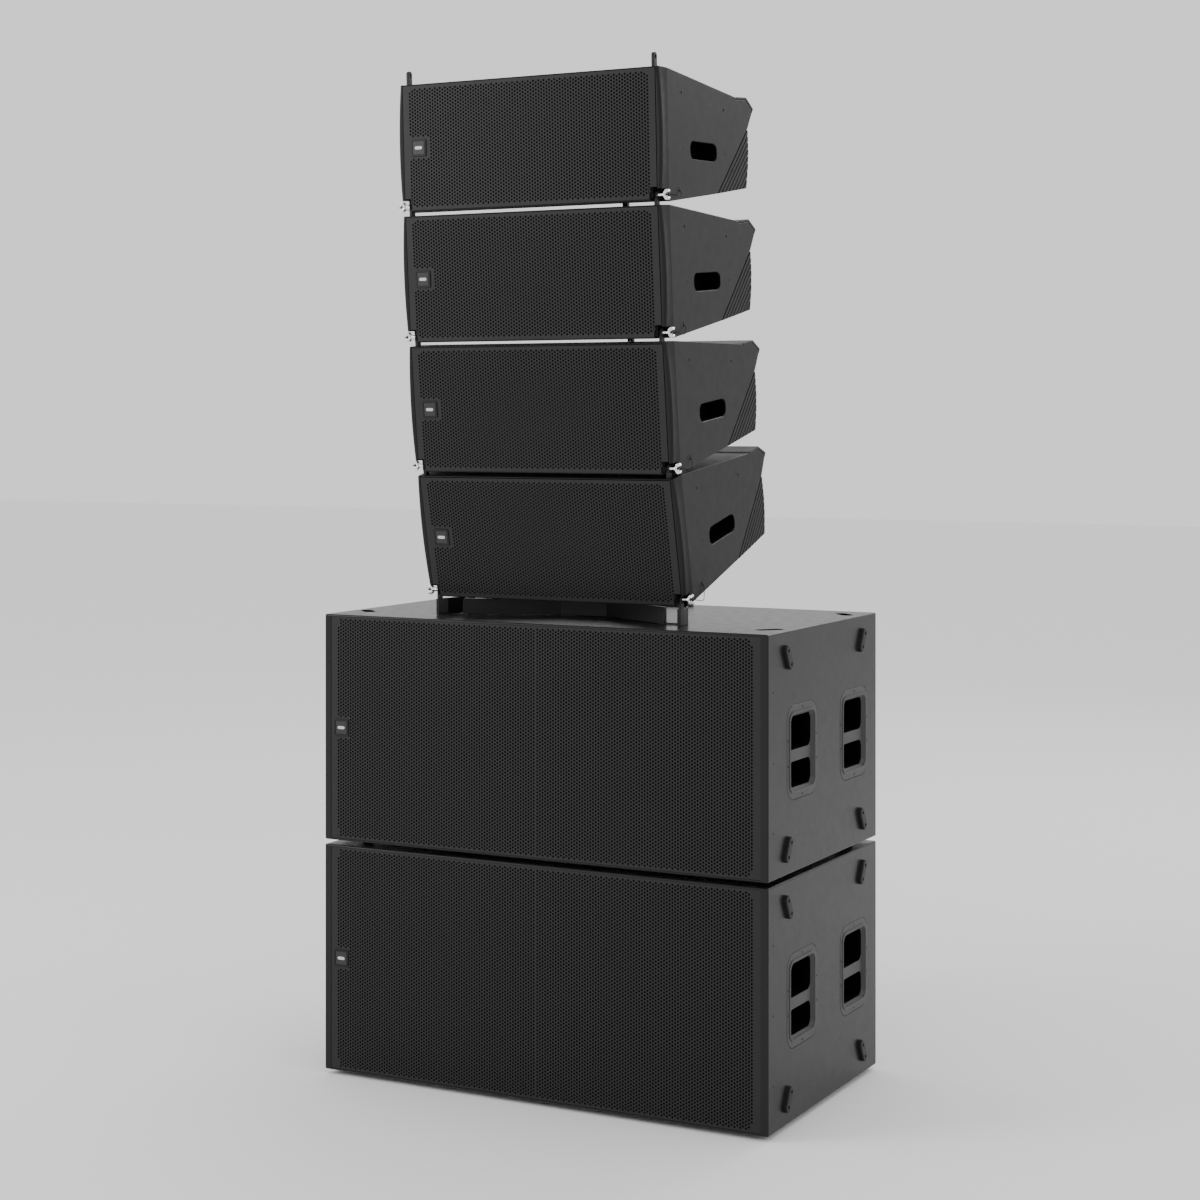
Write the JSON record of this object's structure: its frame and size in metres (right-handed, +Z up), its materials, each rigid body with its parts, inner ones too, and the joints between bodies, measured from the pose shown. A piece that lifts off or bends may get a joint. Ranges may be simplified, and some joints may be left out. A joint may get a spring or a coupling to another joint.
{
  "type": "line array speaker",
  "caption": "Ground-stacked line array: splayed array cabinets pinned on a stacking frame above dual-driver subwoofers.",
  "frame": {"origin": "on the floor, under the middle of the whole stack's bounding box", "axes": "+Z up, -Y towards the audience, +X to the right seen from the audience"},
  "size_m": [1.262, 0.7515, 2.5556],
  "materials": {
    "cabinet": "textured black paint over plywood",
    "sub_cabinet": "textured black paint over plywood",
    "grille": "black powder-coated perforated steel",
    "woofer": "black paper cone, rubber surround and coated basket",
    "waveguide": "black moulded plastic",
    "fins": "black coated finned rear cover with the amplifier",
    "amplifier": "black coated aluminium panel with the amplifier",
    "handle": "dark grey moulded plastic",
    "rigging": "black coated steel",
    "pin": "bright stainless steel"
  },
  "bodies": {
    "root": {"sub_lower_cabinet": "sub_cabinet", "sub_lower_grille": "grille", "sub_lower_woofer_left": "woofer", "sub_lower_woofer_right": "woofer", "sub_lower_amplifier": "amplifier", "sub_lower_handle_right_front": "handle", "sub_lower_handle_right_rear": "handle", "sub_upper_cabinet": "sub_cabinet", "sub_upper_grille": "grille", "sub_upper_woofer_left": "woofer", "sub_upper_woofer_right": "woofer", "sub_upper_amplifier": "amplifier", "sub_upper_handle_right_front": "handle", "sub_upper_handle_right_rear": "handle", "stacking_frame": "rigging"},
    "array_4": {"array_4_cabinet": "cabinet", "array_4_grille": "grille", "array_4_woofer_left": "woofer", "array_4_woofer_right": "woofer", "array_4_waveguide": "waveguide", "array_4_amplifier": "fins", "array_4_link_left": "rigging", "array_4_link_right": "rigging"},
    "array_3": {"array_3_cabinet": "cabinet", "array_3_grille": "grille", "array_3_woofer_left": "woofer", "array_3_woofer_right": "woofer", "array_3_waveguide": "waveguide", "array_3_amplifier": "fins", "array_3_link_left": "rigging", "array_3_link_right": "rigging"},
    "array_2": {"array_2_cabinet": "cabinet", "array_2_grille": "grille", "array_2_woofer_left": "woofer", "array_2_woofer_right": "woofer", "array_2_waveguide": "waveguide", "array_2_amplifier": "fins", "array_2_link_left": "rigging", "array_2_link_right": "rigging"},
    "array_1": {"array_1_cabinet": "cabinet", "array_1_grille": "grille", "array_1_woofer_left": "woofer", "array_1_woofer_right": "woofer", "array_1_waveguide": "waveguide", "array_1_amplifier": "fins"},
    "top_link_left": {"array_1_link_left": "rigging"},
    "top_link_right": {"array_1_link_right": "rigging"},
    "rear_link_1": {"array_1_rear_link": "rigging"},
    "pin_1_left": {"array_1_pin_left": "pin"},
    "pin_1_right": {"array_1_pin_right": "pin"},
    "rear_link_2": {"array_2_rear_link": "rigging"},
    "pin_2_left": {"array_2_pin_left": "pin"},
    "pin_2_right": {"array_2_pin_right": "pin"},
    "rear_link_3": {"array_3_rear_link": "rigging"},
    "pin_3_left": {"array_3_pin_left": "pin"},
    "pin_3_right": {"array_3_pin_right": "pin"},
    "rear_link_4": {"array_4_rear_link": "rigging"},
    "pin_4_left": {"array_4_pin_left": "pin"},
    "pin_4_right": {"array_4_pin_right": "pin"}
  },
  "joints": [
    {"name": "base_tilt", "type": "hinge", "parent": "root", "child": "array_4", "pos_m": [0, -0.21155, 1.2478], "axis": [1, 0, 0], "range_deg": [-5, 2.5]},
    {"name": "splay_3", "type": "hinge", "parent": "array_4", "child": "array_3", "pos_m": [0, -0.28233, 1.56705], "axis": [1, 0, 0], "range_deg": [-4, 6]},
    {"name": "splay_2", "type": "hinge", "parent": "array_3", "child": "array_2", "pos_m": [0, -0.31934, 1.89195], "axis": [1, 0, 0], "range_deg": [-8, 2]},
    {"name": "splay_1", "type": "hinge", "parent": "array_2", "child": "array_1", "pos_m": [0, -0.345, 2.21794], "axis": [1, 0, 0], "range_deg": [-8, 2]},
    {"name": "rear_link_4_slide", "type": "slide", "parent": "root", "child": "rear_link_4", "axis": [0, -0.2164, 0.9763], "range_m": [-0.04475, 0.02247]},
    {"name": "rear_link_3_slide", "type": "slide", "parent": "array_4", "child": "rear_link_3", "axis": [0, -0.2164, 0.9763], "range_m": [-0.03584, 0.05366]},
    {"name": "rear_link_2_slide", "type": "slide", "parent": "array_3", "child": "rear_link_2", "axis": [0, -0.1132, 0.9936], "range_m": [-0.07148, 0.01802]},
    {"name": "rear_link_1_slide", "type": "slide", "parent": "array_2", "child": "rear_link_1", "axis": [0, -0.0785, 0.9969], "range_m": [-0.07148, 0.01802]},
    {"name": "pin_1_left_pull", "type": "slide", "parent": "array_1", "child": "pin_1_left", "axis": [-1, 0, 0], "range_m": [0, 0.045]},
    {"name": "pin_1_right_pull", "type": "slide", "parent": "array_1", "child": "pin_1_right", "axis": [1, 0, 0], "range_m": [0, 0.045]},
    {"name": "pin_2_left_pull", "type": "slide", "parent": "array_2", "child": "pin_2_left", "axis": [-1, 0, 0], "range_m": [0, 0.045]},
    {"name": "pin_2_right_pull", "type": "slide", "parent": "array_2", "child": "pin_2_right", "axis": [1, 0, 0], "range_m": [0, 0.045]},
    {"name": "pin_3_left_pull", "type": "slide", "parent": "array_3", "child": "pin_3_left", "axis": [-1, 0, 0], "range_m": [0, 0.045]},
    {"name": "pin_3_right_pull", "type": "slide", "parent": "array_3", "child": "pin_3_right", "axis": [1, 0, 0], "range_m": [0, 0.045]},
    {"name": "pin_4_left_pull", "type": "slide", "parent": "array_4", "child": "pin_4_left", "axis": [-1, 0, 0], "range_m": [0, 0.045]},
    {"name": "pin_4_right_pull", "type": "slide", "parent": "array_4", "child": "pin_4_right", "axis": [1, 0, 0], "range_m": [0, 0.045]},
    {"name": "top_link_left_drop", "type": "slide", "parent": "array_1", "child": "top_link_left", "axis": [0, -0.0436, 0.999], "range_m": [-0.03, 0]},
    {"name": "top_link_right_drop", "type": "slide", "parent": "array_1", "child": "top_link_right", "axis": [0, -0.0436, 0.999], "range_m": [-0.03, 0]}
  ],
  "couplings": [
    {"joint": "rear_link_4_slide", "follows": "base_tilt", "m_per_rad": 0.5105},
    {"joint": "rear_link_3_slide", "follows": "splay_3", "m_per_rad": 0.5105},
    {"joint": "rear_link_2_slide", "follows": "splay_2", "m_per_rad": 0.5105},
    {"joint": "rear_link_1_slide", "follows": "splay_1", "m_per_rad": 0.5105}
  ]
}
